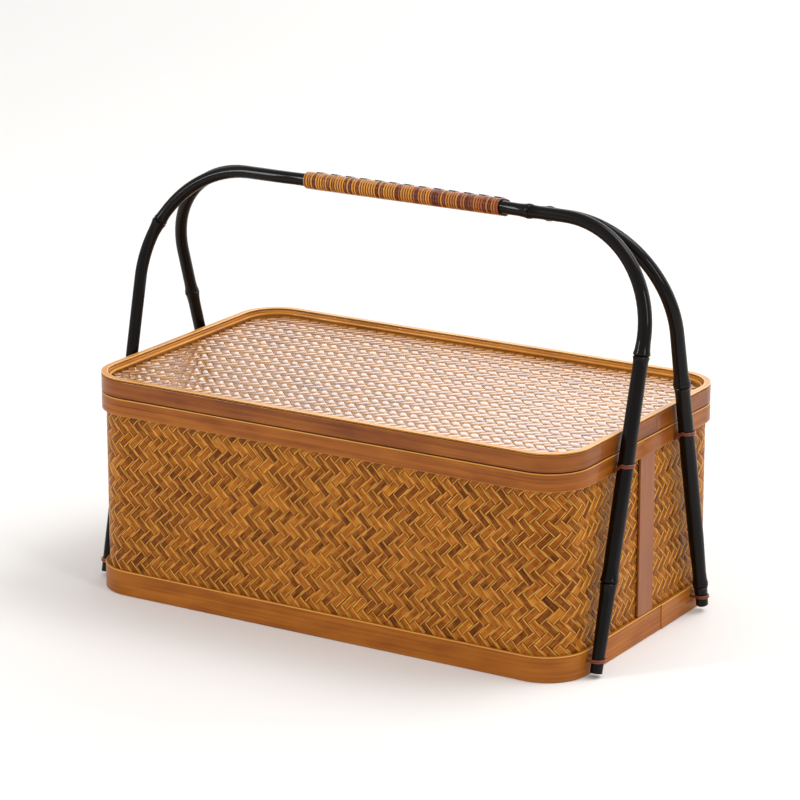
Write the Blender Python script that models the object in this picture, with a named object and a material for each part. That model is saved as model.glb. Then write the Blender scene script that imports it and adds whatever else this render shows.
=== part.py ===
"""Lidded woven bamboo basket with a rigid handle of two bent canes.

Metres, +Z up. The origin is on the table, under the middle of the basket.
X runs along the basket, from its left end to its right end. The front is -Y.
"""

import math

import bmesh
import bpy
from mathutils import Vector

# ---- Driving dimensions -------------------------------------------------
HALF_LENGTH = 0.190          # outer face of the bands, along X
HALF_WIDTH = 0.1122          # outer face of the bands, along Y
CORNER_RADIUS = 0.031        # plan corner of the outer face
CORNER_STEPS = 6             # straight facets in each plan corner

GAP = 0.0003                 # air left between neighbours that touch
BAND_THICKNESS = 0.0026      # outer bands, bent round the weave
WEAVE_THICKNESS = 0.0016
LINING_THICKNESS = 0.0012
INNER_BAND_THICKNESS = 0.0028
NECK_THICKNESS = 0.0023
LID_INNER_THICKNESS = 0.0017

BASE_BAND_TOP = 0.0176
WEAVE_BOTTOM = 0.0035
BASE_BOARD_BOTTOM = 0.0062
BASE_BOARD_TOP = 0.0097
BASE_INNER_BOTTOM = 0.0006
BASE_BATTEN_BOTTOM = 0.0022
RIM_BAND_BOTTOM = 0.1297
RIM_BAND_TOP = 0.1419
WALL_TOP = 0.1415            # weave and lining stop just under the rim's edge
NECK_BOTTOM = 0.1180
NECK_TOP = 0.1466            # the collar that the lid slips over

LID_BOTTOM = RIM_BAND_TOP + GAP
LID_BAND_TOP = 0.1542
LID_TOP = 0.1557
LID_RING_BOTTOM = LID_BAND_TOP + GAP
LID_RING_WIDTH = 0.0046
LID_PANEL_BOTTOM = 0.1490
LID_PANEL_TOP = 0.1506
LID_BOARD_BOTTOM = 0.1472
LID_BOARD_TOP = LID_PANEL_BOTTOM - GAP
LID_BATTEN_BOTTOM = 0.1440
BEAD_RADIUS = 0.0010
BEAD_SIDES = 8

BATTEN_WIDTH = 0.018
BASE_BATTEN_X = 0.090
LID_BATTEN_X = 0.100
BATTEN_END_CLEARANCE = 0.0012

END_STRIP_WIDTH = 0.020
END_STRIP_THICKNESS = 0.0018

LEFT_FOOT_X = -0.1955        # the left legs lean outward a little on their way up
LEFT_LEG_X = -0.2010
RIGHT_FOOT_X = 0.1962
RIGHT_LEG_X = 0.1968
FRONT_ARCH = {"foot_z": 0.0025, "top_z": 0.2845, "left_bend": 0.079, "right_bend": 0.070}
BACK_ARCH = {"foot_z": 0.0045, "top_z": 0.2817, "left_bend": 0.068, "right_bend": 0.074}
FRONT_LEANS = (0.272, 0.267)   # spread of the left and the right leg for each unit down
BACK_LEANS = (0.280, 0.236)
GRIP_CANE_OFFSET = 0.0047    # half the spacing of the canes inside the grip
FREE_CANE_OFFSET = 0.0056    # the same, past the ends of the grip
SPREAD_START = 0.080
SPREAD_END = 0.098
CANE_SIDES = 12
CANE_STEP = 0.020            # length of a straight stretch of cane
BEND_STEPS = 10

# Cane radius against distance from the left foot; the butt is on the right.
CANE_TAPER = (
    (0.0, 0.0042), (0.20, 0.0043), (0.55, 0.0043), (0.68, 0.0048),
    (0.78, 0.0055), (0.84, 0.0053), (0.90, 0.0040),
)
FRONT_KNOTS = (0.093, 0.243, 0.550, 0.696, 0.840)
BACK_KNOTS = (0.176, 0.559, 0.7255, 0.876)
KNOT_SWELL = 0.0007
KNOT_PROFILE = ((-0.0060, 0.0), (-0.0015, 1.0), (0.0015, 1.0), (0.0050, 0.0))

GRIP_HALF_LENGTH = 0.078
GRIP_HALF_HEIGHT = 0.0060
GRIP_WALL = 0.0014
GRIP_END_STEPS = 8
SPLINE_WIDTH = 0.0044
SPLINE_THICKNESS = 0.0007

LASHING_WALL = 0.0012
LASHING_HALF_HEIGHT = 0.0032
RIM_LASHING_Z = 0.1345
FOOT_LASHING_Z = 0.0105

# ---- Where each layer of the wall lies, as a distance in from the band's face
WEAVE_INSET = BAND_THICKNESS + GAP
LINING_INSET = WEAVE_INSET + WEAVE_THICKNESS + GAP
NECK_INSET = LINING_INSET + LINING_THICKNESS + GAP
LID_INNER_INSET = BAND_THICKNESS + GAP
PANEL_INSET = LID_INNER_INSET + LID_INNER_THICKNESS + GAP

FINISHES = {
    "weave": ((0.30, 0.11, 0.035), 0.35),
    "band": ((0.34, 0.12, 0.020), 0.22),
    "ring": ((0.46, 0.22, 0.090), 0.25),
    "lining": ((0.45, 0.27, 0.120), 0.60),
    "timber": ((0.40, 0.25, 0.120), 0.70),
    "strip": ((0.42, 0.20, 0.100), 0.45),
    "cane": ((0.010, 0.006, 0.004), 0.18),
    "binding": ((0.45, 0.17, 0.030), 0.30),
    "spline": ((0.05, 0.015, 0.006), 0.35),
    "lashing": ((0.16, 0.03, 0.015), 0.35),
}


def clear_scene():
    for obj in list(bpy.data.objects):
        bpy.data.objects.remove(obj, do_unlink=True)


def finish_material(name):
    found = bpy.data.materials.get(name)
    if found:
        return found
    colour, roughness = FINISHES[name]
    made = bpy.data.materials.new(name)
    made.use_nodes = True
    shader = made.node_tree.nodes["Principled BSDF"]
    shader.inputs["Base Color"].default_value = (*colour, 1.0)
    shader.inputs["Roughness"].default_value = roughness
    shader.inputs["Metallic"].default_value = 0.0
    return made


def add_piece(name, mesh_maker, finish, smooth_angle=None):
    """Make one closed solid from a function that fills a bmesh."""
    mesh = bpy.data.meshes.new(name)
    bm = bmesh.new()
    mesh_maker(bm)
    bmesh.ops.recalc_face_normals(bm, faces=bm.faces)
    bm.to_mesh(mesh)
    bm.free()
    piece = bpy.data.objects.new(name, mesh)
    bpy.context.scene.collection.objects.link(piece)
    mesh.materials.append(finish_material(finish))
    if smooth_angle:
        mesh.shade_smooth()
        mesh.set_sharp_from_angle(angle=math.radians(smooth_angle))
    return piece


def outline(inset):
    """The basket's plan: a rounded rectangle, moved in by inset."""
    radius = CORNER_RADIUS - inset
    centre_x = HALF_LENGTH - CORNER_RADIUS
    centre_y = HALF_WIDTH - CORNER_RADIUS
    points = []
    for quarter, (side_x, side_y) in enumerate(((1, 1), (-1, 1), (-1, -1), (1, -1))):
        for step in range(CORNER_STEPS + 1):
            angle = math.pi / 2 * (quarter + step / CORNER_STEPS)
            x = side_x * centre_x + radius * math.cos(angle)
            y = side_y * centre_y + radius * math.sin(angle)
            points.append((x, y))
    return points


def close_loops(bm, loops):
    """Join each loop of vertices to the next one, and the last to the first."""
    for here, there in zip(loops, loops[1:] + loops[:1]):
        count = len(here)
        for i in range(count):
            j = (i + 1) % count
            bm.faces.new((here[i], here[j], there[j], there[i]))


def hoop(name, inset, thickness, bottom, top, finish):
    """A flat band bent round the basket's plan."""

    def fill(bm):
        corners = (
            (inset, bottom),
            (inset, top),
            (inset + thickness, top),
            (inset + thickness, bottom),
        )
        loops = [[bm.verts.new((x, y, z)) for x, y in outline(depth)] for depth, z in corners]
        close_loops(bm, loops)

    return add_piece(name, fill, finish, smooth_angle=40)


def bead_hoop(name, inset, z, radius, finish):
    """A thin round cane bent round the basket's plan."""

    def fill(bm):
        loops = []
        for side in range(BEAD_SIDES):
            angle = math.tau * side / BEAD_SIDES
            depth = inset - radius * math.cos(angle)
            height = z + radius * math.sin(angle)
            loops.append([bm.verts.new((x, y, height)) for x, y in outline(depth)])
        close_loops(bm, loops)

    return add_piece(name, fill, finish, smooth_angle=60)


def panel(name, inset, bottom, top, finish):
    """A flat sheet with the basket's plan."""

    def fill(bm):
        low = [bm.verts.new((x, y, bottom)) for x, y in outline(inset)]
        high = [bm.verts.new((x, y, top)) for x, y in outline(inset)]
        bm.faces.new(low)
        bm.faces.new(high)
        count = len(low)
        for i in range(count):
            j = (i + 1) % count
            bm.faces.new((low[i], low[j], high[j], high[i]))

    return add_piece(name, fill, finish, smooth_angle=40)


def block(name, low, high, finish):
    """A straight strip of wood, given by its two corners."""
    size = Vector(high) - Vector(low)
    centre = (Vector(high) + Vector(low)) / 2

    def fill(bm):
        bmesh.ops.create_cube(bm, size=1.0)
        bmesh.ops.scale(bm, vec=size, verts=bm.verts)
        bmesh.ops.translate(bm, vec=centre, verts=bm.verts)

    return add_piece(name, fill, finish)


# ---- The two canes of the handle ----------------------------------------
def arch_lengths(arch):
    """Lengths of the left leg, left bend, top, right bend and right leg."""
    left, right = arch["left_bend"], arch["right_bend"]
    rise = arch["top_z"] - arch["foot_z"]
    top = (RIGHT_LEG_X - right) - (LEFT_LEG_X + left)
    return rise - left, left * math.pi / 2, top, right * math.pi / 2, rise - right


def arch_place(arch, distance):
    """X and Z on the arch, at a distance along it from the left foot."""
    left_leg, left_turn, top, right_turn, right_leg = arch_lengths(arch)
    left, right = arch["left_bend"], arch["right_bend"]
    along = distance
    if along <= left_leg:
        share = along / left_leg
        return LEFT_FOOT_X + share * (LEFT_LEG_X - LEFT_FOOT_X), arch["foot_z"] + along
    along -= left_leg
    if along <= left_turn:
        angle = along / left
        return LEFT_LEG_X + left * (1 - math.cos(angle)), arch["top_z"] - left * (1 - math.sin(angle))
    along -= left_turn
    if along <= top:
        return LEFT_LEG_X + left + along, arch["top_z"]
    along -= top
    if along <= right_turn:
        angle = along / right
        return RIGHT_LEG_X - right * (1 - math.sin(angle)), arch["top_z"] - right * (1 - math.cos(angle))
    share = (along - right_turn) / right_leg
    x = RIGHT_LEG_X + share * (RIGHT_FOOT_X - RIGHT_LEG_X)
    return x, arch["foot_z"] + right_leg * (1 - share)


def cane_centre(side, distance):
    """A point on a cane's centre line; side is -1 in front and +1 behind."""
    arch, leans = (FRONT_ARCH, FRONT_LEANS) if side < 0 else (BACK_ARCH, BACK_LEANS)
    x, z = arch_place(arch, distance)
    spread = min(max((abs(x) - SPREAD_START) / (SPREAD_END - SPREAD_START), 0.0), 1.0)
    spread = spread * spread * (3 - 2 * spread)
    offset = GRIP_CANE_OFFSET + spread * (FREE_CANE_OFFSET - GRIP_CANE_OFFSET)
    lean = leans[0] if x < 0 else leans[1]
    return Vector((x, side * (offset + lean * (arch["top_z"] - z)), z))


def ramp(table, value):
    """Straight-line reading of a table of (place, reading) pairs."""
    for (place_a, read_a), (place_b, read_b) in zip(table, table[1:]):
        if value <= place_b:
            share = max((value - place_a) / (place_b - place_a), 0.0)
            return read_a + share * (read_b - read_a)
    return table[-1][1]


def cane_radius(distance, knots):
    radius = ramp(CANE_TAPER, distance)
    nearest = min(knots, key=lambda knot: abs(knot - distance))
    offset = distance - nearest
    if KNOT_PROFILE[0][0] < offset < KNOT_PROFILE[-1][0]:
        radius += KNOT_SWELL * ramp(KNOT_PROFILE, offset)
    return radius


def cane_stations(arch, knots):
    """Distances along a cane where it has a ring of vertices."""
    left_leg, left_turn, top, right_turn, right_leg = arch_lengths(arch)
    length = left_leg + left_turn + top + right_turn + right_leg
    bends = []
    for start, turn in ((left_leg, left_turn), (left_leg + left_turn + top, right_turn)):
        bends += [start + turn * step / BEND_STEPS for step in range(BEND_STEPS + 1)]
    plain = [step * CANE_STEP for step in range(1, int(length / CANE_STEP))]
    swells = [knot + offset for knot in knots for offset, _ in KNOT_PROFILE]
    top_middle = left_leg + left_turn - (LEFT_LEG_X + arch["left_bend"])
    spreads = [top_middle + x for x in (-SPREAD_END, -SPREAD_START, SPREAD_START, SPREAD_END)]
    wanted = [0.0, length] + swells + spreads
    for distance in bends + plain:
        if min(abs(distance - other) for other in wanted) > CANE_STEP / 4:
            wanted.append(distance)
    return sorted(wanted)


def cane(name, side, arch, knots):
    """One bamboo cane, bent into both legs and the top of the handle."""

    def fill(bm):
        rings = []
        probe = CANE_STEP / 10
        stations = cane_stations(arch, knots)
        for distance in stations:
            centre = cane_centre(side, distance)
            ahead = cane_centre(side, min(distance + probe, stations[-1]))
            behind = cane_centre(side, max(distance - probe, 0.0))
            tangent = (ahead - behind).normalized()
            across = Vector((0, 1, 0)) - tangent * tangent.y
            across.normalize()
            outward = tangent.cross(across)
            radius = cane_radius(distance, knots)
            ring = []
            for step in range(CANE_SIDES):
                angle = math.tau * step / CANE_SIDES
                reach = across * math.cos(angle) + outward * math.sin(angle)
                ring.append(bm.verts.new(centre + reach * radius))
            rings.append(ring)
        for here, there in zip(rings, rings[1:]):
            for i in range(CANE_SIDES):
                j = (i + 1) % CANE_SIDES
                bm.faces.new((here[i], here[j], there[j], there[i]))
        bm.faces.new(rings[0])
        bm.faces.new(rings[-1])

    return add_piece(name, fill, "cane", smooth_angle=50)


# ---- Binding and lashings ------------------------------------------------
# The front cane lies higher than the back one, so the grip's section is tilted.
GRIP_Z = (FRONT_ARCH["top_z"] + BACK_ARCH["top_z"]) / 2
GRIP_TILT = math.atan2(FRONT_ARCH["top_z"] - BACK_ARCH["top_z"], 2 * GRIP_CANE_OFFSET)
GRIP_HALF_SPACING = GRIP_CANE_OFFSET / math.cos(GRIP_TILT)


def grip_point(across, up):
    """Y and Z of a point given along and square to the line between the canes."""
    y = across * math.cos(GRIP_TILT) + up * math.sin(GRIP_TILT)
    z = GRIP_Z - across * math.sin(GRIP_TILT) + up * math.cos(GRIP_TILT)
    return y, z


def grip_section(half_height):
    """An oval with straight sides, round both canes, in Y and Z."""
    points = []
    for end in (1, -1):
        for step in range(GRIP_END_STEPS + 1):
            angle = math.pi * (step / GRIP_END_STEPS - 0.5)
            across = end * (GRIP_HALF_SPACING + half_height * math.cos(angle))
            points.append(grip_point(across, end * half_height * math.sin(angle)))
    return points


def grip_binding():
    """The rattan wound round both canes, as a plain sleeve."""

    def fill(bm):
        loops = []
        for half_height, x in (
            (GRIP_HALF_HEIGHT, -GRIP_HALF_LENGTH),
            (GRIP_HALF_HEIGHT, GRIP_HALF_LENGTH),
            (GRIP_HALF_HEIGHT - GRIP_WALL + GAP / 2, GRIP_HALF_LENGTH),
            (GRIP_HALF_HEIGHT - GRIP_WALL + GAP / 2, -GRIP_HALF_LENGTH),
        ):
            section = grip_section(half_height)
            loops.append([bm.verts.new((x, y, z)) for y, z in section])
        close_loops(bm, loops)

    return add_piece("grip_binding", fill, "binding", smooth_angle=40)


def grip_spline():
    """The dark strip that the binding is woven over, along its top."""
    low = GRIP_HALF_HEIGHT + GAP
    high = low + SPLINE_THICKNESS
    half = SPLINE_WIDTH / 2
    end = GRIP_HALF_LENGTH - 2 * GRIP_WALL

    def fill(bm):
        corners = ((-half, low), (half, low), (half, high), (-half, high))
        near, far = [[bm.verts.new((x, *grip_point(*corner))) for corner in corners] for x in (-end, end)]
        bm.faces.new(near)
        bm.faces.new(far)
        for i in range(4):
            j = (i + 1) % 4
            bm.faces.new((near[i], near[j], far[j], far[i]))

    return add_piece("grip_spline", fill, "spline")


def leg_centre(side, end, z):
    """The middle of a leg at a height; end is -1 on the left, +1 on the right."""
    arch = FRONT_ARCH if side < 0 else BACK_ARCH
    distance = z - arch["foot_z"]
    if end > 0:
        distance = sum(arch_lengths(arch)) - distance
    return cane_centre(side, distance), ramp(CANE_TAPER, distance)


def lashing(name, side, end, z):
    """A few turns of split rattan that hold a leg against a band."""
    face_x = end * (HALF_LENGTH + GAP)
    _, cane_r = leg_centre(side, end, z)
    hole = cane_r + GAP * 1.5
    reach = hole + LASHING_WALL

    def fill(bm):
        loops = []
        for radius, height in (
            (reach, z - LASHING_HALF_HEIGHT),
            (reach, z + LASHING_HALF_HEIGHT),
            (hole, z + LASHING_HALF_HEIGHT),
            (hole, z - LASHING_HALF_HEIGHT),
        ):
            centre, _ = leg_centre(side, end, height)
            loop = []
            for step in range(CANE_SIDES):
                angle = math.tau * (step + 0.5) / CANE_SIDES
                x = centre.x + radius * math.cos(angle)
                y = centre.y + radius * math.sin(angle)
                if radius == reach and end * math.cos(angle) < -0.5:
                    x = face_x
                loop.append(bm.verts.new((x, y, height)))
            loops.append(loop)
        close_loops(bm, loops)

    return add_piece(name, fill, "lashing", smooth_angle=40)


# ---- The whole basket ----------------------------------------------------
def build_body():
    hoop("woven_wall", WEAVE_INSET, WEAVE_THICKNESS, WEAVE_BOTTOM, WALL_TOP, "weave")
    hoop("inner_lining", LINING_INSET, LINING_THICKNESS, BASE_BOARD_TOP + GAP, WALL_TOP, "lining")
    hoop("base_band", 0.0, BAND_THICKNESS, 0.0, BASE_BAND_TOP, "band")
    hoop("rim_band", 0.0, BAND_THICKNESS, RIM_BAND_BOTTOM, RIM_BAND_TOP, "band")
    hoop("neck_band", NECK_INSET, NECK_THICKNESS, NECK_BOTTOM, NECK_TOP, "timber")
    board_under = BASE_BOARD_BOTTOM - GAP
    hoop("base_inner_band", LINING_INSET, INNER_BAND_THICKNESS, BASE_INNER_BOTTOM, board_under, "timber")
    panel("base_board", LINING_INSET, BASE_BOARD_BOTTOM, BASE_BOARD_TOP, "timber")
    reach = HALF_WIDTH - LINING_INSET - INNER_BAND_THICKNESS - GAP
    for side, label in ((-1, "left"), (1, "right")):
        middle = side * BASE_BATTEN_X
        low = (middle - BATTEN_WIDTH / 2, -reach, BASE_BATTEN_BOTTOM)
        high = (middle + BATTEN_WIDTH / 2, reach, board_under)
        block(f"base_batten_{label}", low, high, "timber")


def build_end_strips():
    inner = HALF_LENGTH - WEAVE_INSET + GAP
    outer = inner + END_STRIP_THICKNESS
    half = END_STRIP_WIDTH / 2
    for side, label in ((-1, "left"), (1, "right")):
        near, far = sorted((side * inner, side * outer))
        low = (near, -half, BASE_BAND_TOP + GAP)
        high = (far, half, RIM_BAND_BOTTOM - GAP)
        block(f"end_strip_{label}", low, high, "strip")


def build_lid():
    hoop("lid_band", 0.0, BAND_THICKNESS, LID_BOTTOM, LID_BAND_TOP, "band")
    hoop("lid_inner_band", LID_INNER_INSET, LID_INNER_THICKNESS, LID_BOTTOM, LID_BAND_TOP, "timber")
    hoop("lid_rim_ring", 0.0, LID_RING_WIDTH, LID_RING_BOTTOM, LID_TOP, "ring")
    panel("lid_panel", PANEL_INSET, LID_PANEL_BOTTOM, LID_PANEL_TOP, "weave")
    panel("lid_board", PANEL_INSET, LID_BOARD_BOTTOM, LID_BOARD_TOP, "timber")
    bead_z = LID_PANEL_TOP + GAP + BEAD_RADIUS
    bead_hoop("lid_bead", PANEL_INSET + BEAD_RADIUS, bead_z, BEAD_RADIUS, "lashing")
    reach = HALF_WIDTH - NECK_INSET - NECK_THICKNESS - BATTEN_END_CLEARANCE
    for side, label in ((-1, "left"), (1, "right")):
        middle = side * LID_BATTEN_X
        low = (middle - BATTEN_WIDTH / 2, -reach, LID_BATTEN_BOTTOM)
        high = (middle + BATTEN_WIDTH / 2, reach, LID_BOARD_BOTTOM - GAP)
        block(f"lid_batten_{label}", low, high, "timber")


def build_handle():
    cane("cane_front", -1, FRONT_ARCH, FRONT_KNOTS)
    cane("cane_back", 1, BACK_ARCH, BACK_KNOTS)
    grip_binding()
    grip_spline()
    for side, depth in ((-1, "front"), (1, "back")):
        for end, label in ((-1, "left"), (1, "right")):
            lashing(f"rim_lashing_{depth}_{label}", side, end, RIM_LASHING_Z)
            lashing(f"foot_lashing_{depth}_{label}", side, end, FOOT_LASHING_Z)


clear_scene()
build_body()
build_end_strips()
build_lid()
build_handle()
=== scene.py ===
# %% [markdown]
# # A lidded woven basket with a black cane handle
# The basket is a long box of bamboo strips, woven on the slant, with lacquered
# bands bent round its foot, its rim and its lid. Two black canes are bent into
# one handle, bound together with rattan at the grip and lashed to the ends of
# the box. The solid model gives every size; here each piece gets its fine shape
# and its finish. The model is loaded first, because all places come from it.

# %% Load the solid model
import math
import random

import bpy
import numpy as np
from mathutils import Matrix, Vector


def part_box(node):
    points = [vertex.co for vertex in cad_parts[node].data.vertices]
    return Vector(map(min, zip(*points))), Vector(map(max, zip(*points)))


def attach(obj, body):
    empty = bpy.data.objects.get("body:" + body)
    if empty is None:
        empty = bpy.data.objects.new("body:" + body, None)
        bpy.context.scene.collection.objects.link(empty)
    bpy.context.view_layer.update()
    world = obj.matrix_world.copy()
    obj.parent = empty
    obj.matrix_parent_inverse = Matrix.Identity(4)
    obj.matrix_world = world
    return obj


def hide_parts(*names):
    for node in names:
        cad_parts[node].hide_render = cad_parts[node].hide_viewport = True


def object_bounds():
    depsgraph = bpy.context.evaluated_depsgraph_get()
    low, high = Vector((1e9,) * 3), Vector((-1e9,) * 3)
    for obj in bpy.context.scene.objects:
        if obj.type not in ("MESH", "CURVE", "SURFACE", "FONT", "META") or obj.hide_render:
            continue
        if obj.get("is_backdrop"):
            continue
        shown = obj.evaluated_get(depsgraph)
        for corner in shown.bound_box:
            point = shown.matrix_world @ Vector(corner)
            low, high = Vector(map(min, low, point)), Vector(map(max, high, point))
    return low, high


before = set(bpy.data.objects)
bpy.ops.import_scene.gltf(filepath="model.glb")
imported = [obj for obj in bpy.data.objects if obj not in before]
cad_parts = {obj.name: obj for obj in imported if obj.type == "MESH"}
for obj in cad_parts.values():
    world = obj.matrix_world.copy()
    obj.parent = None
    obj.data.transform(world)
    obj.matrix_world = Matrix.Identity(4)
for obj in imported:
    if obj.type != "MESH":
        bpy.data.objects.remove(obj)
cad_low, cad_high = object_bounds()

MM = 0.001

# %% [markdown]
# ## Sizes that everything shares
# The bands all follow one plan, a rounded rectangle. Its half sizes are read
# from the solid base band, and only the corner's radius is stated again. Heights
# are read where they are used, so that a piece always sits where its solid does.

# %% Plan of the basket
base_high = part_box("base_band")[1]
HALF_LENGTH = base_high.x
HALF_WIDTH = base_high.y
CORNER_RADIUS = 31 * MM
WEAVE_DEPTH = 3.7 * MM      # from a band's face in to the middle of the weave

grip_low, grip_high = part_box("grip_binding")
GRIP_Z = (grip_low.z + grip_high.z) / 2
print("plan:", round(HALF_LENGTH * 2, 4), "x", round(HALF_WIDTH * 2, 4), "m")
print("middle of grip at", round(GRIP_Z, 4), "m")

# %% [markdown]
# ## Camera
# A long lens from far away keeps the sides of a box nearly parallel, which is
# how goods are usually pictured. The camera is placed by its direction and its
# distance from an aim point, because two angles are easier to judge than three
# coordinates.

# %% Camera
CAMERA_TURN = math.radians(31.58)
CAMERA_RISE = math.radians(16.30)
CAMERA_DISTANCE = 2.4924
CAMERA_LENS = 160.68
AIM_RIGHT, AIM_UP = -3.0 * MM, 132.3 * MM

backward = Vector((
    math.sin(CAMERA_TURN) * math.cos(CAMERA_RISE),
    -math.cos(CAMERA_TURN) * math.cos(CAMERA_RISE),
    math.sin(CAMERA_RISE),
))
rightward = Vector((math.cos(CAMERA_TURN), math.sin(CAMERA_TURN), 0))
upward = backward.cross(rightward)
aim = rightward * AIM_RIGHT + upward * AIM_UP

camera = bpy.data.objects.new("camera", bpy.data.cameras.new("camera"))
bpy.context.scene.collection.objects.link(camera)
camera.data.lens = CAMERA_LENS
camera.data.sensor_width = 36
camera.data.clip_end = 50
camera.location = aim + backward * CAMERA_DISTANCE
camera.rotation_euler = (-backward).to_track_quat("-Z", "Y").to_euler()
bpy.context.scene.camera = camera
print("camera at", tuple(round(c, 3) for c in camera.location))

# %% [markdown]
# ## Shader expressions
# A finish is a sum of simple marks: streaks, edges, stains. Written as Python
# sums, they can be read like a recipe. The small class below wraps one socket,
# and each operator adds the Math node that does it. Colours go through Mix
# nodes, because a Math node would turn them grey.

# %% A socket that can be added and multiplied
class Wire:
    """One output socket of a finish."""

    def __init__(self, finish, socket):
        self.finish = finish
        self.socket = socket

    def join(self, operation, first, second):
        return self.finish.node("ShaderNodeMath", {"operation": operation}, {0: first, 1: second})

    def __add__(self, other):
        return self.join("ADD", self, other)

    def __sub__(self, other):
        return self.join("SUBTRACT", self, other)

    def __mul__(self, other):
        return self.join("MULTIPLY", self, other)

    def __truediv__(self, other):
        return self.join("DIVIDE", self, other)

    def __rsub__(self, other):
        return self.join("SUBTRACT", other, self)

    __radd__ = __add__
    __rmul__ = __mul__

    def size(self):
        return self.join("ABSOLUTE", self, 0.0)


class Finish:
    """One material, whose nodes are added one by one."""

    def __init__(self, name):
        self.material = bpy.data.materials.new(name)
        self.material.use_nodes = True
        self.tree = self.material.node_tree
        self.shader = self.tree.nodes["Principled BSDF"]

    def feed(self, socket, value):
        if isinstance(value, Wire):
            self.tree.links.new(value.socket, socket)
        elif isinstance(value, (tuple, list)) and len(value) == 3 and len(socket.default_value) == 4:
            socket.default_value = (*value, 1.0)
        else:
            socket.default_value = value

    def node(self, kind, settings=None, sockets=None, output=0):
        made = self.tree.nodes.new(kind)
        for key, value in (settings or {}).items():
            if key == "stops":
                self.set_stops(made.color_ramp, value)
            else:
                setattr(made, key, value)
        for key, value in (sockets or {}).items():
            self.feed(made.inputs[key], value)
        return Wire(self, made.outputs[output])

    def set_stops(self, ramp, stops):
        while len(ramp.elements) < len(stops):
            ramp.elements.new(0.5)
        for element, (place, colour) in zip(ramp.elements, stops):
            element.position = place
            element.color = (*colour, 1.0)

    def mix(self, factor, first, second):
        return self.node(
            "ShaderNodeMix",
            {"data_type": "RGBA"},
            {0: factor, 6: first, 7: second},
            2,
        )

    def between(self, value, low, high):
        """0 below low, 1 above high, smooth in between."""
        return self.node(
            "ShaderNodeMapRange",
            {"interpolation_type": "SMOOTHSTEP"},
            {"Value": value, "From Min": low, "From Max": high},
        )

    def attribute(self, name, output="Fac"):
        return self.node("ShaderNodeAttribute", {"attribute_name": name}, {}, output)

    def noise(self, stretch, detail=3.0, roughness=0.55, shift=0.0):
        """Noise over the piece as if it lay straight: along it, across it, through it."""
        place = self.node(
            "ShaderNodeVectorMath",
            {"operation": "MULTIPLY_ADD"},
            {0: self.attribute("grain", "Vector"), 1: stretch, 2: self.offset(shift)},
        )
        settings = {"noise_dimensions": "3D"}
        sockets = {"Vector": place, "Scale": 1.0, "Detail": detail, "Roughness": roughness}
        return self.node("ShaderNodeTexNoise", settings, sockets, "Fac")

    def offset(self, shift):
        """A jump in the pattern from piece to piece, from the tone mark."""
        far = self.attribute("tone") * 57.0 + shift
        return self.node("ShaderNodeCombineXYZ", {}, {"X": far, "Y": far, "Z": far})

    def bump(self, height, distance, strength=1.0):
        sockets = {"Height": height, "Distance": distance, "Strength": strength}
        return self.node("ShaderNodeBump", {}, sockets)

    def dress(self, **looks):
        """Set the shader's own sockets, named with _ for a space."""
        for name, value in looks.items():
            self.feed(self.shader.inputs[name.replace("_", " ")], value)
        return self.material


print("shader helpers ready")

# %% [markdown]
# ## Sheets of quads
# Nearly everything here is a cross-section carried along a path: bands, strips,
# canes, windings. Blender can do that with a bevelled curve, but then the texture
# can't know how far along and across the strip a point lies. So one small
# function joins rows of points into quads, and keeps three marks on each point.
# *grain* is the point's place if the piece were straightened, in metres, *tone*
# is a random shade for each strip, and *wear* says how near an
# edge a point is, and for weaving strips how far they dip. It drives real wear
# as well as painted highlights and painted shadows.

# %% Join rows of points into one mesh
class Stock:
    """Collects lofted strips that become one piece."""

    def __init__(self):
        self.points, self.grain, self.tone, self.wear = [], [], [], []
        self.faces = []
        self.count = 0

    def loft(self, rows, grain, tone, wear, closed=False):
        """rows and grain are (rows, around, 3); tone and wear fit (rows, around)."""
        number, around = rows.shape[:2]
        self.points.append(rows.reshape(-1, 3))
        self.grain.append(grain.reshape(-1, 3))
        self.tone.append(np.broadcast_to(tone, (number, around)).reshape(-1))
        self.wear.append(np.broadcast_to(wear, (number, around)).reshape(-1))
        index = self.count + np.arange(number * around).reshape(number, around)
        ahead = np.roll(index, -1, axis=0) if closed else index[1:]
        here = index if closed else index[:-1]
        quads = np.stack([here, np.roll(here, -1, 1), np.roll(ahead, -1, 1), ahead], -1)
        self.faces += quads.reshape(-1, 4).tolist()
        if not closed:
            self.faces.append(index[0][::-1].tolist())
            self.faces.append(index[-1].tolist())
        self.count += number * around

    def piece(self, name, material, stands_for, slot, body="basket", smooth=45):
        mesh = bpy.data.meshes.new(name)
        mesh.from_pydata(np.concatenate(self.points).tolist(), [], self.faces)
        for key, kind, field, values in (
            ("grain", "FLOAT_VECTOR", "vector", self.grain),
            ("tone", "FLOAT", "value", self.tone),
            ("wear", "FLOAT", "value", self.wear),
        ):
            layer = mesh.attributes.new(key, kind, "POINT")
            layer.data.foreach_set(field, np.concatenate(values).astype(np.float32).ravel())
        mesh.shade_smooth()
        mesh.set_sharp_from_angle(angle=math.radians(smooth))
        mesh.materials.append(material)
        made = bpy.data.objects.new(name, mesh)
        bpy.context.scene.collection.objects.link(made)
        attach(made, body)
        if stands_for:
            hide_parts(*stands_for)
        print(f"{name}: {len(self.faces)} faces")
        return made
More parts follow.
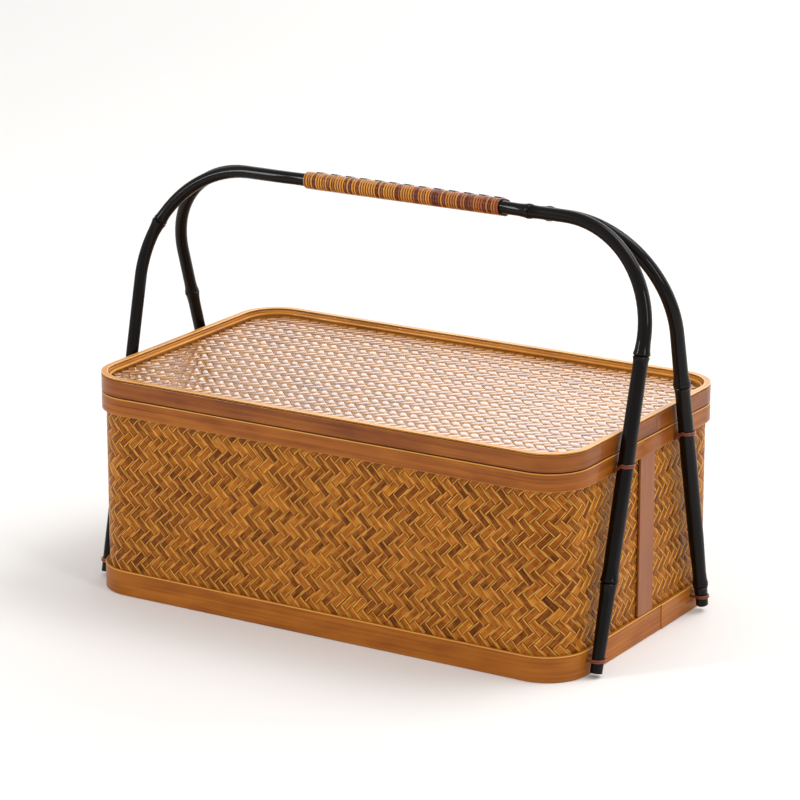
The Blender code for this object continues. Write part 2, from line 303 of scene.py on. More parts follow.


# %% [markdown]
# ## Finish of the bent bands
# Split bamboo shows fine fibres that run the whole length of the strip. Under
# amber lacquer they read as streaks, a little darker or redder here and there,
# and the cut edges, where lacquer wears thin, are pale. The pale edges are also a
# painted highlight: the top edges, where light catches them, are painted paler
# than the bottom ones. Noise that is stretched some fifty times along the strip
# gives the fibres; the *wear* mark gives the edges. A clear
# coat over it all gives the gloss.

# %% Lacquered bamboo
def lacquered_bamboo(name, dark, middle, pale, edge, gloss):
    finish = Finish(name)
    fibres = finish.noise((9.0, 2600.0, 2600.0), 4.0, 0.6)
    bands = finish.noise((5.0, 420.0, 420.0), 2.0, 0.5, 3.0)
    clouds = finish.noise((26.0, 90.0, 90.0), 3.0, 0.5, 9.0)
    blend = fibres * 0.40 + bands * 0.38 + clouds * 0.42
    settings = {"stops": [(0.40, dark), (0.60, middle), (0.80, pale)]}
    colour = finish.node("ShaderNodeValToRGB", settings, {"Fac": blend}, "Color")
    # Pale edges: worn lacquer, and also a painted highlight, strongest on the top edges.
    worn = finish.between(finish.attribute("wear") + fibres * 0.5 - 0.25, 0.35, 0.95)
    colour = finish.mix(worn * 0.9, colour, edge)
    relief = finish.bump(fibres * 0.7 + bands * 0.3, 0.06 * MM, 0.6)
    return finish.dress(
        Base_Color=colour,
        Roughness=0.32 + fibres * 0.16,
        Normal=relief,
        Specular_IOR_Level=0.12,
        Coat_Weight=gloss,
        Coat_Roughness=0.10,
        Coat_IOR=1.45,
    )


STRAW = (0.66, 0.32, 0.06)
amber = lacquered_bamboo(
    "amber_lacquer", (0.13, 0.027, 0.003), (0.29, 0.080, 0.007), (0.42, 0.140, 0.014), STRAW, 0.25
)
russet = lacquered_bamboo(
    "russet_lacquer", (0.085, 0.015, 0.002), (0.22, 0.055, 0.005), (0.34, 0.105, 0.010), STRAW, 0.35
)
honey = lacquered_bamboo(
    "honey_lacquer", (0.17, 0.038, 0.003), (0.34, 0.102, 0.008), (0.46, 0.165, 0.016), STRAW, 0.2
)
# The lid's ring, its inner band and the bead use a paler, more golden copy of the amber lacquer: partly
# their own colour, partly a painted highlight where the lid's top catches the light. RING_EDGE is their
# edge colour, wear and painted highlight.
RING_EDGE = (0.92, 0.56, 0.18)
ring_finish = lacquered_bamboo(
    "ring_lacquer", (0.36, 0.110, 0.012), (0.62, 0.250, 0.035), (0.80, 0.380, 0.075), RING_EDGE, 0.5
)

# %% [markdown]
# ## Bent bands
# Each band is one flat strip, steamed and bent round the box, with its edges
# eased. Its cut end is a small rounded rectangle, and that outline is carried
# round the plan. The path starts and ends at the middle of the right end, where
# a real band has its joint, so the closing line falls where it belongs.

# %% Cut end of a flat strip
EDGE_STEPS = 3


def bar_section(width, height, easing, margin, worn=(1.0, 1.0, 1.0, 1.0)):
    """Points round a flat strip's cut end, and how pale each one is painted: wear, and on the lacquered
    bands a painted highlight too.

    The four paleness values are for its outer top, inner top, inner bottom and outer bottom edge.
    """
    points, wear = [], []
    for quarter, (side_a, side_b) in enumerate(((1, 1), (-1, 1), (-1, -1), (1, -1))):
        centre_a = side_a * (width / 2 - easing)
        centre_b = side_b * (height / 2 - easing)
        arc = []
        for step in range(EDGE_STEPS + 1):
            angle = math.pi / 2 * (quarter + step / EDGE_STEPS)
            arc.append((centre_a + easing * math.cos(angle), centre_b + easing * math.sin(angle)))
        toward = math.pi / 2 * quarter - math.pi / 2
        before = (arc[0][0] + margin * math.cos(toward), arc[0][1] + margin * math.sin(toward))
        away = math.pi / 2 * (quarter + 1) + math.pi / 2
        after = (arc[-1][0] + margin * math.cos(away), arc[-1][1] + margin * math.sin(away))
        points += [before] + arc + [after]
        wear += [0.0] + [worn[quarter]] * len(arc) + [0.0]
    return np.array(points), np.array(wear)


# %% The path round the plan
CORNER_TURNS = 16
SIDE_STEP = 16 * MM


def plan_stations(joint_y):
    """(centre x, centre y, angle, distance) round the plan from the joint, anticlockwise."""
    centre_x = HALF_LENGTH - CORNER_RADIUS
    centre_y = HALF_WIDTH - CORNER_RADIUS
    signs = ((1, 1), (-1, 1), (-1, -1), (1, -1))
    corners = [(sign_x * centre_x, sign_y * centre_y) for sign_x, sign_y in signs]
    stops = [(centre_x, joint_y, 0.0)]
    for quarter, (x, y) in enumerate(corners):
        last_x, last_y, angle = stops[-1]
        length = math.hypot(x - last_x, y - last_y)
        pieces = max(1, round(length / SIDE_STEP))
        for step in range(1, pieces):
            share = step / pieces
            stops.append((last_x + (x - last_x) * share, last_y + (y - last_y) * share, angle))
        for step in range(CORNER_TURNS + 1):
            stops.append((x, y, math.pi / 2 * (quarter + step / CORNER_TURNS)))
    last_y = stops[-1][1]
    pieces = round((joint_y - last_y) / SIDE_STEP)
    for step in range(1, pieces + 1):
        y = last_y + (joint_y - 0.2 * MM - last_y) * step / pieces
        stops.append((centre_x, y, math.tau))
    distance, stations = 0.0, []
    for number, (x, y, angle) in enumerate(stops):
        if number:
            old_x, old_y, old_angle = stops[number - 1]
            distance += math.hypot(x - old_x, y - old_y) + CORNER_RADIUS * (angle - old_angle)
        stations.append((x, y, angle, distance))
    return np.array(stations)


def hoop(stock, depth, thickness, bottom, top, easing, margin,
         joint_y=0.0, lap=0.0, waviness=0.0, tone=0.0, worn=(1.0, 1.0, 1.0, 1.0)):
    """Carry a flat strip's section round the plan; depth is in from the band's face."""
    section, wear = bar_section(thickness, top - bottom, easing, margin, worn)
    stations = plan_stations(joint_y)
    centre_x, centre_y, angle, distance = (stations[:, i, None] for i in range(4))
    ease = np.clip(1 - distance / (32 * MM), 0, 1)
    wave = waviness * (np.sin(distance * 31 + tone * 9) + 0.6 * np.sin(distance * 74 + tone * 5))
    radius = CORNER_RADIUS - depth - thickness / 2 + section[None, :, 0] + lap * ease + wave
    x = centre_x + radius * np.cos(angle)
    y = centre_y + radius * np.sin(angle)
    z = np.broadcast_to((bottom + top) / 2 + section[None, :, 1] + wave * 0.5, x.shape)
    rows = np.stack([x, y, z], -1)
    across = section[None, :, 0] + 0 * distance
    through = section[None, :, 1] + 0 * distance
    grain = np.stack([np.broadcast_to(distance, x.shape), across, through], -1)
    stock.loft(rows, grain, tone, wear[None, :], closed=True)


def band(name, node, finish, slot, body, easing, margin, lifted=0.0, **shape):
    """One bent band where its solid lies; lifted trims its lower edge."""
    low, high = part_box(node)
    stock = Stock()
    depth = HALF_LENGTH - high.x
    hoop(stock, depth, shape.pop("thickness"), low.z + lifted, high.z, easing, margin, **shape)
    return stock.piece(name, finish, [node], slot, body)


BAND_THICKNESS = 2.6 * MM
RING_THICKNESS = 4.6 * MM

# Each band's four edge values paint its top edges paler than its bottom ones: partly wear, partly a
# painted highlight where light catches the top.
band(
    "foot_band", "base_band", honey, "band", "basket", 0.45 * MM, 0.5 * MM, thickness=BAND_THICKNESS,
    joint_y=22 * MM, lap=0.35 * MM, waviness=0.06 * MM, tone=0.1, worn=(0.95, 0.95, 0, 0.2),
)
band(
    "rim_hoop", "rim_band", amber, "band", "basket", 0.5 * MM, 0.4 * MM, thickness=BAND_THICKNESS,
    joint_y=-8 * MM, lap=0.2 * MM, waviness=0.05 * MM, tone=0.4, worn=(0.95, 0.9, 0, 0.62),
)
band(
    "lid_hoop", "lid_band", russet, "band", "lid", 0.6 * MM, 0.4 * MM, thickness=BAND_THICKNESS,
    lifted=0.5 * MM, joint_y=10 * MM, lap=0.2 * MM, waviness=0.05 * MM, tone=0.8, worn=(0.5, 0, 0, 0),
)
band(
    "lid_top_hoop", "lid_rim_ring", ring_finish, "ring", "lid", 0.5 * MM, 0.5 * MM,
    thickness=RING_THICKNESS, joint_y=-20 * MM, waviness=0.05 * MM, tone=0.6, worn=(1, 0.85, 0, 0.3),
)
band(
    "lid_inner_hoop", "lid_inner_band", ring_finish, "timber", "lid", 0.3 * MM, 0.3 * MM,
    thickness=1.7 * MM, joint_y=5 * MM, tone=0.2, worn=(0, 0, 0, 0),
)

# %% [markdown]
# ## Finish of the weaving strips
# Each weaving strip is split bamboo too, but its face was stained before it was
# split, so the face is brown and both cut edges are straw yellow. That pale
# outline round every strip is what makes the pattern easy to read. Each stretch
# that lies on top has its own shade, from its *tone*. Where a strip dips under
# its neighbours, it is painted nearly black: a painted shadow in the hollow at
# each float's end. The *wear* mark holds how far it has dipped.
# The walls are brown with little gloss. The lid
# has the same strips, but paler and under more lacquer, so it mirrors the room.

# %% Stained weaving strips
STRIP_WIDTH = 5.5 * MM


def stained_strips(name, stops, outline_and_shadow, smoothness, base_shine, coat_index, gloss):
    finish = Finish(name)
    across = finish.node(
        "ShaderNodeSeparateXYZ", {}, {"Vector": finish.attribute("grain", "Vector")}, "Y"
    ).size()
    fibres = finish.noise((22.0, 2100.0, 0.0), 3.0, 0.65)
    stripes = finish.noise((9.0, 760.0, 0.0), 2.0, 0.5, 5.0)
    clouds = finish.noise((60.0, 160.0, 0.0), 2.0, 0.5, 2.0)
    tone = finish.attribute("tone")
    blend = fibres * 0.36 + stripes * 0.42 + clouds * 0.16 + tone * 0.24
    face = finish.node("ShaderNodeValToRGB", {"stops": stops}, {"Fac": blend}, "Color")
    half = STRIP_WIDTH / 2
    rim = finish.between(across + stripes * 0.0009 - 0.00045, half - 0.75 * MM, half - 0.40 * MM)
    straw = finish.mix(fibres, (0.40, 0.15, 0.012), (1.0, 0.56, 0.10))
    colour = finish.mix(rim * outline_and_shadow, face, straw)
    # Painted shadow: where a strip dips under its neighbours it is darkened to near black, standing in
    # for the shade in the hollow at each float's end.
    dip_shadow = finish.between(finish.attribute("wear"), 0.12, 0.62)
    colour = finish.mix(dip_shadow * outline_and_shadow, colour, (0.026, 0.003, 0.001))
    relief = finish.bump(fibres * 0.5 + stripes * 0.5, 0.12 * MM, 0.7)
    return finish.dress(
        Base_Color=colour,
        Roughness=smoothness + fibres * 0.16,
        Normal=relief,
        Specular_IOR_Level=base_shine,
        Coat_Weight=gloss,
        Coat_Roughness=0.10,
        Coat_IOR=coat_index,
    )


wall_stops = [
    (0.38, (0.045, 0.008, 0.001)),
    (0.52, (0.170, 0.040, 0.003)),
    (0.64, (0.340, 0.098, 0.009)),
    (0.80, (0.560, 0.200, 0.022)),
]
lid_stops = [
    (0.38, (0.110, 0.025, 0.006)),
    (0.52, (0.300, 0.095, 0.018)),
    (0.64, (0.460, 0.175, 0.035)),
    (0.80, (0.620, 0.270, 0.070)),
]
wall_finish = stained_strips("wall_strips", wall_stops, 0.92, 0.34, 0.05, 1.45, 0.16)
lid_finish = stained_strips("lid_strips", lid_stops, 0.62, 0.22, 0.5, 1.65, 1.0)

# %% [markdown]
# ## The weave
# The mat is a twill: every strip goes over two and under two, and its neighbour
# does the same one step later. Both sets run on the slant, so the stretches on
# top line up in level rows that lean left, right, left, right. The strips are
# real ribbons that rise and dip, since a flat plate with a bump map would show
# its flatness at the corners and against the light.
#
# A crossing has two whole numbers, one for each set. Their sum moves the
# crossing along the wall and their difference moves it up. The difference, in
# fours, says which strip is on top.

# %% One ribbon of the weave
ROW_RISE = 8.5 * MM          # height of one level row of the pattern
STRIP_THICKNESS = 0.5 * MM
STRIP_LIFT = 0.36 * MM       # a strip's middle is this far above or below the mat's
CROWN = 0.07 * MM
FLAT_SHARE = 0.31            # how much of each half crossing stays level
PRESSED = 0.76               # the lid's mat is pressed flatter than the walls'
PRESSED_CROWN = 0.01 * MM
PRESSED_FLAT_SHARE = 0.40


def ribbon_section(crown):
    """Across and up for the points round a weaving strip's cut end."""
    half, thick = STRIP_WIDTH / 2, STRIP_THICKNESS / 2
    return np.array([
        (-half, -thick),
        (half, -thick),
        (half, thick * 0.45),
        (half - 0.3 * MM, thick),
        (0.0, thick + crown),
        (-half + 0.3 * MM, thick),
        (-half, thick * 0.45),
    ])


def ribbon(stock, place, own, falling, first, last, draw, pressed=1.0, flat=FLAT_SHARE):
    """One strip from crossing first to last. place maps (u, v, height) to points."""
    section = ribbon_section(CROWN if pressed == 1.0 else PRESSED_CROWN)
    width = 1 + draw.uniform(-0.05, 0.03)
    drift = draw.uniform(-0.12, 0.12) * MM
    shade = draw.random()
    steps, lifts, tones = [], [], []
    for crossing in range(first, last + 1):
        turn = (own - crossing) if falling else (crossing - own)
        on_top = (turn % 4 in (0, 1)) == falling
        pair = draw.random() if on_top else shade
        for part in (-flat, flat):
            steps.append(crossing + part)
            lifts.append(STRIP_LIFT if on_top else -STRIP_LIFT)
            tones.append(0.6 * shade + 0.4 * pair)
    steps, lifts, tones = np.array(steps), np.array(lifts), np.array(tones)
    side = -1 if falling else 1
    total, rise = (own + steps) / 2, (own - steps) / 2 * -side
    u = total * WALL_RUN
    v = rise * ROW_RISE
    heading = np.array([WALL_RUN, side * ROW_RISE])
    length = np.hypot(*heading) / 2
    heading = heading / np.hypot(*heading)
    normal = np.array([-heading[1], heading[0]])
    offset = section[None, :, 0] * width + drift
    rows = place(
        u[:, None] + offset * normal[0],
        v[:, None] + offset * normal[1],
        lifts[:, None] * pressed + section[None, :, 1],
    )
    along = np.broadcast_to((steps * length)[:, None], (len(steps), len(section)))
    grain = np.stack([
        along,
        np.broadcast_to(section[None, :, 0], along.shape),
        np.broadcast_to(section[None, :, 1], along.shape),
    ], -1)
    dip = (0.5 - lifts / STRIP_LIFT / 2)[:, None]
    stock.loft(rows, grain, tones[:, None], np.broadcast_to(dip, along.shape))


# %% [markdown]
# ## The walls
# Round the box, the pattern has to close on itself, so its step is the wall's
# length divided by a whole number. The strips bend round the corners because
# every point is placed by its distance round the plan.

# %% Points on the wall
def wall_place(distance, height, lift):
    """Distance round the middle of the weave, height and lift to points in space."""
    radius = CORNER_RADIUS - WEAVE_DEPTH
    side_x = 2 * (HALF_LENGTH - CORNER_RADIUS)
    side_y = 2 * (HALF_WIDTH - CORNER_RADIUS)
    arc = radius * math.pi / 2
    distance, height, lift = np.broadcast_arrays(distance % WALL_LENGTH, height, lift)
    x, y = np.zeros(distance.shape), np.zeros(distance.shape)
    start = 0.0
    corner_x, corner_y = side_x / 2, -side_y / 2
    for quarter, side in enumerate((side_y, side_x, side_y, side_x)):
        angle = quarter * math.pi / 2
        out_x, out_y = math.cos(angle), math.sin(angle)
        here = (distance >= start) & (distance <= start + side)
        reach = radius + lift
        x = np.where(here, corner_x + out_x * reach - out_y * (distance - start), x)
        y = np.where(here, corner_y + out_y * reach + out_x * (distance - start), y)
        corner_x -= out_y * side
        corner_y += out_x * side
        start += side
        here = (distance > start) & (distance < start + arc)
        bend = angle + (distance - start) / radius
        x = np.where(here, corner_x + np.cos(bend) * reach, x)
        y = np.where(here, corner_y + np.sin(bend) * reach, y)
        start += arc
    return np.stack([x, y, height], -1)


WALL_LENGTH = (
    4 * (HALF_LENGTH + HALF_WIDTH - 2 * CORNER_RADIUS) + math.tau * (CORNER_RADIUS - WEAVE_DEPTH)
)
ROUND_STEPS = 138
WALL_RUN = WALL_LENGTH / ROUND_STEPS
print("wall is", round(WALL_LENGTH, 4), "m round; pattern step is", round(WALL_RUN / MM, 2), "mm")

# %% Weave the walls
wall_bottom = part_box("base_band")[1].z - 4 * MM
wall_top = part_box("rim_band")[0].z + 4 * MM


def weave_wall(falling, seed):
    draw = random.Random(seed)
    stock = Stock()
    low, high = math.floor(wall_bottom / ROW_RISE * 2), math.ceil(wall_top / ROW_RISE * 2)
    for own in range(ROUND_STEPS):
        if falling:
            first, last = own - high, own - low
        else:
            first, last = own + low, own + high
        ribbon(stock, wall_place, own, falling, first, last, draw)
    return stock


weave_wall(True, 11).piece(
    "wall_strips_falling", wall_finish, ["woven_wall"], "weave", smooth=60)
weave_wall(False, 12).piece(
    "wall_strips_rising", wall_finish, ["woven_wall"], "weave", smooth=60)

# %% [markdown]
# ## The lid's panel
# The same mat, laid flat inside the lid's hoop. Each strip is cut where it meets
# the hoop, so its first and last crossings are the ones inside the rounded
# rectangle.

# %% Weave the lid
panel_low, panel_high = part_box("lid_panel")
PANEL_Z = (panel_low.z + panel_high.z) / 2


def inside_panel(x, y, spare):
    radius = CORNER_RADIUS - (HALF_LENGTH - panel_high.x)
    over_x = max(abs(x) - (panel_high.x - radius), 0.0)
    over_y = max(abs(y) - (panel_high.y - radius), 0.0)
    return math.hypot(over_x, over_y) < radius - spare


def lid_place(u, v, lift):
    u, v, lift = np.broadcast_arrays(u, v, lift)
    return np.stack([u, v, PANEL_Z + lift], -1)


def weave_lid(falling, seed):
    draw = random.Random(seed)
    stock = Stock()
    reach = 90
    for own in range(-reach, reach):
        wanted = []
        for crossing in range(-reach, reach):
            x = (own + crossing) / 2 * WALL_RUN
            y = (own - crossing) / 2 * (1 if falling else -1) * ROW_RISE
            if inside_panel(x, y, 2.2 * MM):
                wanted.append(crossing)
        if len(wanted) > 1:
            first, last = wanted[0], wanted[-1]
            ribbon(stock, lid_place, own, falling, first, last, draw, PRESSED, PRESSED_FLAT_SHARE)
    return stock


weave_lid(True, 21).piece("lid_strips_falling", lid_finish, ["lid_panel"], "weave", "lid", 60)
weave_lid(False, 22).piece("lid_strips_rising", lid_finish, ["lid_panel"], "weave", "lid", 60)

# %% [markdown]
# ## Round canes
# The two canes of the handle are bamboo of finger thickness, so they have joints
# every hand's breadth: the cane swells, a sharp ridge runs round it, a groove
# lies beside it, and a second, softer ridge follows. The path is the solid's
# own: up one leg, round a bend, along the top, and down again, leaning inward.

# %% The canes' path
LEFT_FOOT_X, LEFT_LEG_X = -195.5 * MM, -201.0 * MM
RIGHT_FOOT_X, RIGHT_LEG_X = 196.2 * MM, 196.8 * MM
FRONT_ARCH = {"foot_z": 2.5 * MM, "top_z": 284.5 * MM, "left": 79 * MM, "right": 70 * MM}
BACK_ARCH = {"foot_z": 4.5 * MM, "top_z": 281.7 * MM, "left": 68 * MM, "right": 74 * MM}
FRONT_LEANS, BACK_LEANS = (0.272, 0.267), (0.280, 0.236)
GRIP_OFFSET, FREE_OFFSET = 4.7 * MM, 5.6 * MM
SPREAD_START, SPREAD_END = 80 * MM, 98 * MM


def arch_lengths(arch):
    """Lengths of the left leg, left bend, top, right bend and right leg."""
    rise = arch["top_z"] - arch["foot_z"]
    top = (RIGHT_LEG_X - arch["right"]) - (LEFT_LEG_X + arch["left"])
    quarter = math.pi / 2
    return rise - arch["left"], arch["left"] * quarter, top, arch["right"] * quarter, rise - arch["right"]


def arch_place(arch, distance):
    """X and Z on the arch, at a distance along it from the left foot."""
    left_leg, left_turn, top, right_turn, right_leg = arch_lengths(arch)
    left, right = arch["left"], arch["right"]
    along = distance
    if along <= left_leg:
        return LEFT_FOOT_X + along / left_leg * (LEFT_LEG_X - LEFT_FOOT_X), arch["foot_z"] + along
    along -= left_leg
    if along <= left_turn:
        angle = along / left
        return LEFT_LEG_X + left * (1 - math.cos(angle)), arch["top_z"] - left * (1 - math.sin(angle))
    along -= left_turn
    if along <= top:
        return LEFT_LEG_X + left + along, arch["top_z"]
    along -= top
    if along <= right_turn:
        angle = along / right
        return RIGHT_LEG_X - right * (1 - math.sin(angle)), arch["top_z"] - right * (1 - math.cos(angle))
    share = (along - right_turn) / right_leg
    return RIGHT_LEG_X + share * (RIGHT_FOOT_X - RIGHT_LEG_X), arch["foot_z"] + right_leg * (1 - share)


def cane_centre(side, distance):
    """A point on a cane; side is -1 in front and +1 behind."""
    arch, leans = (FRONT_ARCH, FRONT_LEANS) if side < 0 else (BACK_ARCH, BACK_LEANS)
    x, z = arch_place(arch, distance)
    spread = min(max((abs(x) - SPREAD_START) / (SPREAD_END - SPREAD_START), 0.0), 1.0)
    spread = spread * spread * (3 - 2 * spread)
    offset = GRIP_OFFSET + spread * (FREE_OFFSET - GRIP_OFFSET)
    lean = leans[0] if x < 0 else leans[1]
    return np.array([x, side * (offset + lean * (arch["top_z"] - z)), z])


# %% The canes' thickness
TAPER_AT = (0.0, 0.20, 0.55, 0.68, 0.78, 0.84, 0.90)
TAPER = tuple(r * MM for r in (4.2, 4.3, 4.3, 4.8, 5.5, 5.3, 4.0))
FRONT_KNOTS = (0.093, 0.243, 0.550, 0.696, 0.840)
BACK_KNOTS = (0.176, 0.559, 0.7255, 0.876)
KNOT_AT = tuple(d * MM for d in (-9, -4, -2, -1.1, -0.6, -0.25, 0.1, 0.5, 0.9, 1.5, 3, 7))
KNOT_SWELL = tuple(r * MM for r in (0, 0.34, 0.74, 0.95, 0.90, 0.22, 0.05, 0.48, 0.80, 0.52, 0.2, 0))
KNOT_WEAR = (0, 0, 0.2, 0.7, 0.5, 0.0, 0.0, 0.2, 0.4, 0.2, 0, 0)


def cane_radius(distance, knots):
    nearest = min(knots, key=lambda knot: abs(knot - distance))
    swell = np.interp(distance - nearest, KNOT_AT, KNOT_SWELL)
    wear = np.interp(distance - nearest, KNOT_AT, KNOT_WEAR)
    return np.interp(distance, TAPER_AT, TAPER) + swell, wear


for arch in (FRONT_ARCH, BACK_ARCH):
    print("a cane is", round(sum(arch_lengths(arch)), 3), "m long")

# %% [markdown]
# ## Finish of the canes
# Black bamboo is stained nearly black and polished. It isn't a flat black: the
# fibres show as faint brown lines, and the sharp ridges at the joints are rubbed
# a little browner.

# %% Black cane
def black_cane():
    finish = Finish("black_cane")
    fibres = finish.noise((7.0, 1100.0, 1100.0), 4.0, 0.65)
    clouds = finish.noise((30.0, 60.0, 60.0), 2.0, 0.5, 4.0)
    stops = [
        (0.40, (0.0018, 0.0012, 0.0010)),
        (0.60, (0.0045, 0.0026, 0.0018)),
        (0.85, (0.0160, 0.0075, 0.0045)),
    ]
    blend = fibres * 0.6 + clouds * 0.4
    colour = finish.node("ShaderNodeValToRGB", {"stops": stops}, {"Fac": blend}, "Color")
    rubbed = finish.between(finish.attribute("wear") * (0.5 + clouds), 0.3, 1.0)
    colour = finish.mix(rubbed * 0.4, colour, (0.035, 0.016, 0.009))
    return finish.dress(
        Base_Color=colour,
        Roughness=0.24 + clouds * 0.15,
        Normal=finish.bump(fibres, 0.10 * MM, 0.6),
        Specular_IOR_Level=0.05,
        Coat_Weight=0.26,
        Coat_Roughness=0.06,
        Coat_IOR=1.5,
    )


black = black_cane()

# %% Sweep a round section along a path
def tube_frames(path):
    """Two directions square to a path at each point, turning as little as it can."""
    ahead = np.gradient(path, axis=0)
    ahead /= np.linalg.norm(ahead, axis=1, keepdims=True)
    first = np.zeros_like(ahead)
    guide = np.array([0.0, 1.0, 0.0]) if abs(ahead[0, 1]) < 0.9 else np.array([0.0, 0.0, 1.0])
    for number, forward in enumerate(ahead):
        guide = guide - forward * (guide @ forward)
        guide /= np.linalg.norm(guide)
        first[number] = guide
    return first, np.cross(ahead, first)


def tube(stock, path, radius, sides, tone, wear=0.0, flatten=1.0):
    """A round or flattened cord along a path; radius may change along it."""
    first, second = tube_frames(path)
    turn = np.linspace(0, math.tau, sides, endpoint=False)
    a = np.cos(turn)[None, :] * np.reshape(radius, (-1, 1)) * flatten
    b = np.sin(turn)[None, :] * np.reshape(radius, (-1, 1))
    a, b = np.broadcast_arrays(a + 0 * path[:, :1], b + 0 * path[:, :1])
    rows = path[:, None, :] + a[..., None] * first[:, None, :] + b[..., None] * second[:, None, :]
    steps = np.linalg.norm(np.diff(path, axis=0), axis=1)
    along = np.concatenate([[0.0], np.cumsum(steps)])[:, None] + 0 * a
    stock.loft(rows, np.stack([along, a, b], -1), tone, np.reshape(wear, (-1, 1)) + 0 * a)


# %% Bend the two canes
CANE_SIDES = 28


def bend_cane(name, node, side, arch, knots, tone):
    length = sum(arch_lengths(arch))
    places = set(np.arange(0, length, 5 * MM).tolist())
    for knot in knots:
        places = {p for p in places if abs(p - knot) > 9.5 * MM}
        places |= {knot + offset for offset in KNOT_AT}
    places = np.array(sorted(p for p in places | {length} if 0 <= p <= length))
    path = np.array([cane_centre(side, p) for p in places])
    sized = np.array([cane_radius(p, knots) for p in places])
    stock = Stock()
    tube(stock, path, sized[:, 0], CANE_SIDES, tone, sized[:, 1])
    return stock.piece(name, black, [node], "cane", smooth=50)


bend_cane("handle_cane_front", "cane_front", -1, FRONT_ARCH, FRONT_KNOTS, 0.3)
bend_cane("handle_cane_back", "cane_back", 1, BACK_ARCH, BACK_KNOTS, 0.7)

# %% [markdown]
# ## Finish of the rattan
# Split rattan keeps its skin, which is shiny and straw to red-brown in colour.
# On the grip it runs from gold at one end to red-brown at the other, where hands
# hold it most, and single turns are darker. Its edges, where one turn meets the
# next, are painted dark: a painted shadow in the groove between turns.

# %% Rattan
def rattan(name, gold, red, dark, change):
    finish = Finish(name)
    fibres = finish.noise((14.0, 3000.0, 3000.0), 2.0, 0.6)
    clouds = finish.noise((120.0, 0.0, 0.0), 2.0, 0.5, 6.0)
    place = finish.node("ShaderNodeTexCoord", {}, {}, "Object")
    x = finish.node("ShaderNodeSeparateXYZ", {}, {"Vector": place}, "X")
    ripe = finish.between(x + (finish.attribute("tone") - 0.5) * 0.16, *change)
    colour = finish.mix(ripe, gold, red)
    tone = finish.attribute("tone")
    colour = finish.mix(finish.between(tone * 0.7 + clouds * 0.5, 0.55, 0.95), colour, dark)
    # Painted shadow: each turn's edges, where it meets the next, are darkened nearly to the dark colour.
    edge = finish.between(finish.attribute("wear"), 0.10, 0.55)
    colour = finish.mix(edge * 0.95, colour, dark)
    colour = finish.mix(fibres * 0.3, colour, dark)
    return finish.dress(
        Base_Color=colour,
        Roughness=0.30 + fibres * 0.2,
        Normal=finish.bump(fibres, 0.05 * MM, 0.5),
        Specular_IOR_Level=0.15,
        Coat_Weight=0.6,
        Coat_Roughness=0.08,
        Coat_IOR=1.5,
    )


binding_finish = rattan(
    "grip_rattan", (0.76, 0.31, 0.022), (0.42, 0.095, 0.012), (0.105, 0.014, 0.003), (-0.06, 0.06)
)
lashing_finish = rattan(
    "lashing_rattan", (0.26, 0.060, 0.016), (0.20, 0.042, 0.012), (0.045, 0.008, 0.004), (-0.3, 0.3)
)
spline_finish = rattan(
    "spline_rattan", (0.030, 0.006, 0.003), (0.026, 0.005, 0.003), (0.010, 0.003, 0.002), (-0.3, 0.3)
)

# %% [markdown]
# ## The grip
# One long strip of rattan is wound round both canes. A dark strip lies along the
# top, and the winding goes over it for three turns and under it for three, which
# locks both and draws a row of dark dashes. The winding is one path: it goes
# round an oval, moves on by its own width for each turn, and rises where it
# passes over the dark strip.

# %% Wind the grip
TURN_PITCH = 1.95 * MM
GRIP_START = grip_low.x + TURN_PITCH
TURN_COUNT = int((grip_high.x - grip_low.x) / TURN_PITCH) - 1
TURN_STEPS = 44
TURNS_OVER = 3
WOUND_RADIUS = 5.15 * MM
STRAND_HALF_WIDTH = 0.93 * MM
STRAND_HALF_HEIGHT = 0.58 * MM
SPLINE_RISE = 0.55 * MM


front_top, back_top = FRONT_ARCH["top_z"], BACK_ARCH["top_z"]
GRIP_TILT = math.atan2(front_top - back_top, 2 * GRIP_OFFSET)
HALF_SPACING = GRIP_OFFSET / math.cos(GRIP_TILT)


def tilted(across, up):
    """Y and Z from a place along and square to the line between the canes."""
    y = across * math.cos(GRIP_TILT) + up * math.sin(GRIP_TILT)
    z = up * math.cos(GRIP_TILT) - across * math.sin(GRIP_TILT)
    return y, z


def is_over(turn):
    return math.floor(turn / TURNS_OVER) % 2 == 0


def oval_place(turn, share):
    """Y, Z and outward direction on the grip's oval; share runs 0 to 1 from its bottom."""
    half_round = math.pi * WOUND_RADIUS
    straight = 2 * HALF_SPACING
    total = 2 * (half_round + straight)
    distance = (share * total + straight / 2) % total
    if distance < straight:
        place, out = (distance - straight / 2, -WOUND_RADIUS), (0.0, -1.0)
    elif distance < straight + half_round:
        angle = (distance - straight) / WOUND_RADIUS - math.pi / 2
        out = (math.cos(angle), math.sin(angle))
        place = (HALF_SPACING + WOUND_RADIUS * out[0], WOUND_RADIUS * out[1])
    elif distance < 2 * straight + half_round:
        place, out = (straight / 2 - (distance - straight - half_round), WOUND_RADIUS), (0.0, 1.0)
    else:
        angle = (distance - 2 * straight - half_round) / WOUND_RADIUS + math.pi / 2
        out = (math.cos(angle), math.sin(angle))
        place = (-HALF_SPACING + WOUND_RADIUS * out[0], WOUND_RADIUS * out[1])
    near_top = max(0.0, 1 - abs(share - 0.5) / 0.13)
    lift = SPLINE_RISE * math.sin(near_top * math.pi / 2) if is_over(turn) else 0.0
    y, z = tilted(place[0], place[1] + lift)
    return y, GRIP_Z + z, tilted(*out)


def strand_section():
    """Along the grip and outward for the points round a split strand's cut end."""
    turn = np.linspace(0, math.tau, 8, endpoint=False)
    along = STRAND_HALF_WIDTH * np.cos(turn)
    outward = STRAND_HALF_HEIGHT * np.where(np.sin(turn) < 0, 0.5, 1.0) * np.sin(turn)
    return along, outward, np.abs(np.cos(turn)) ** 3


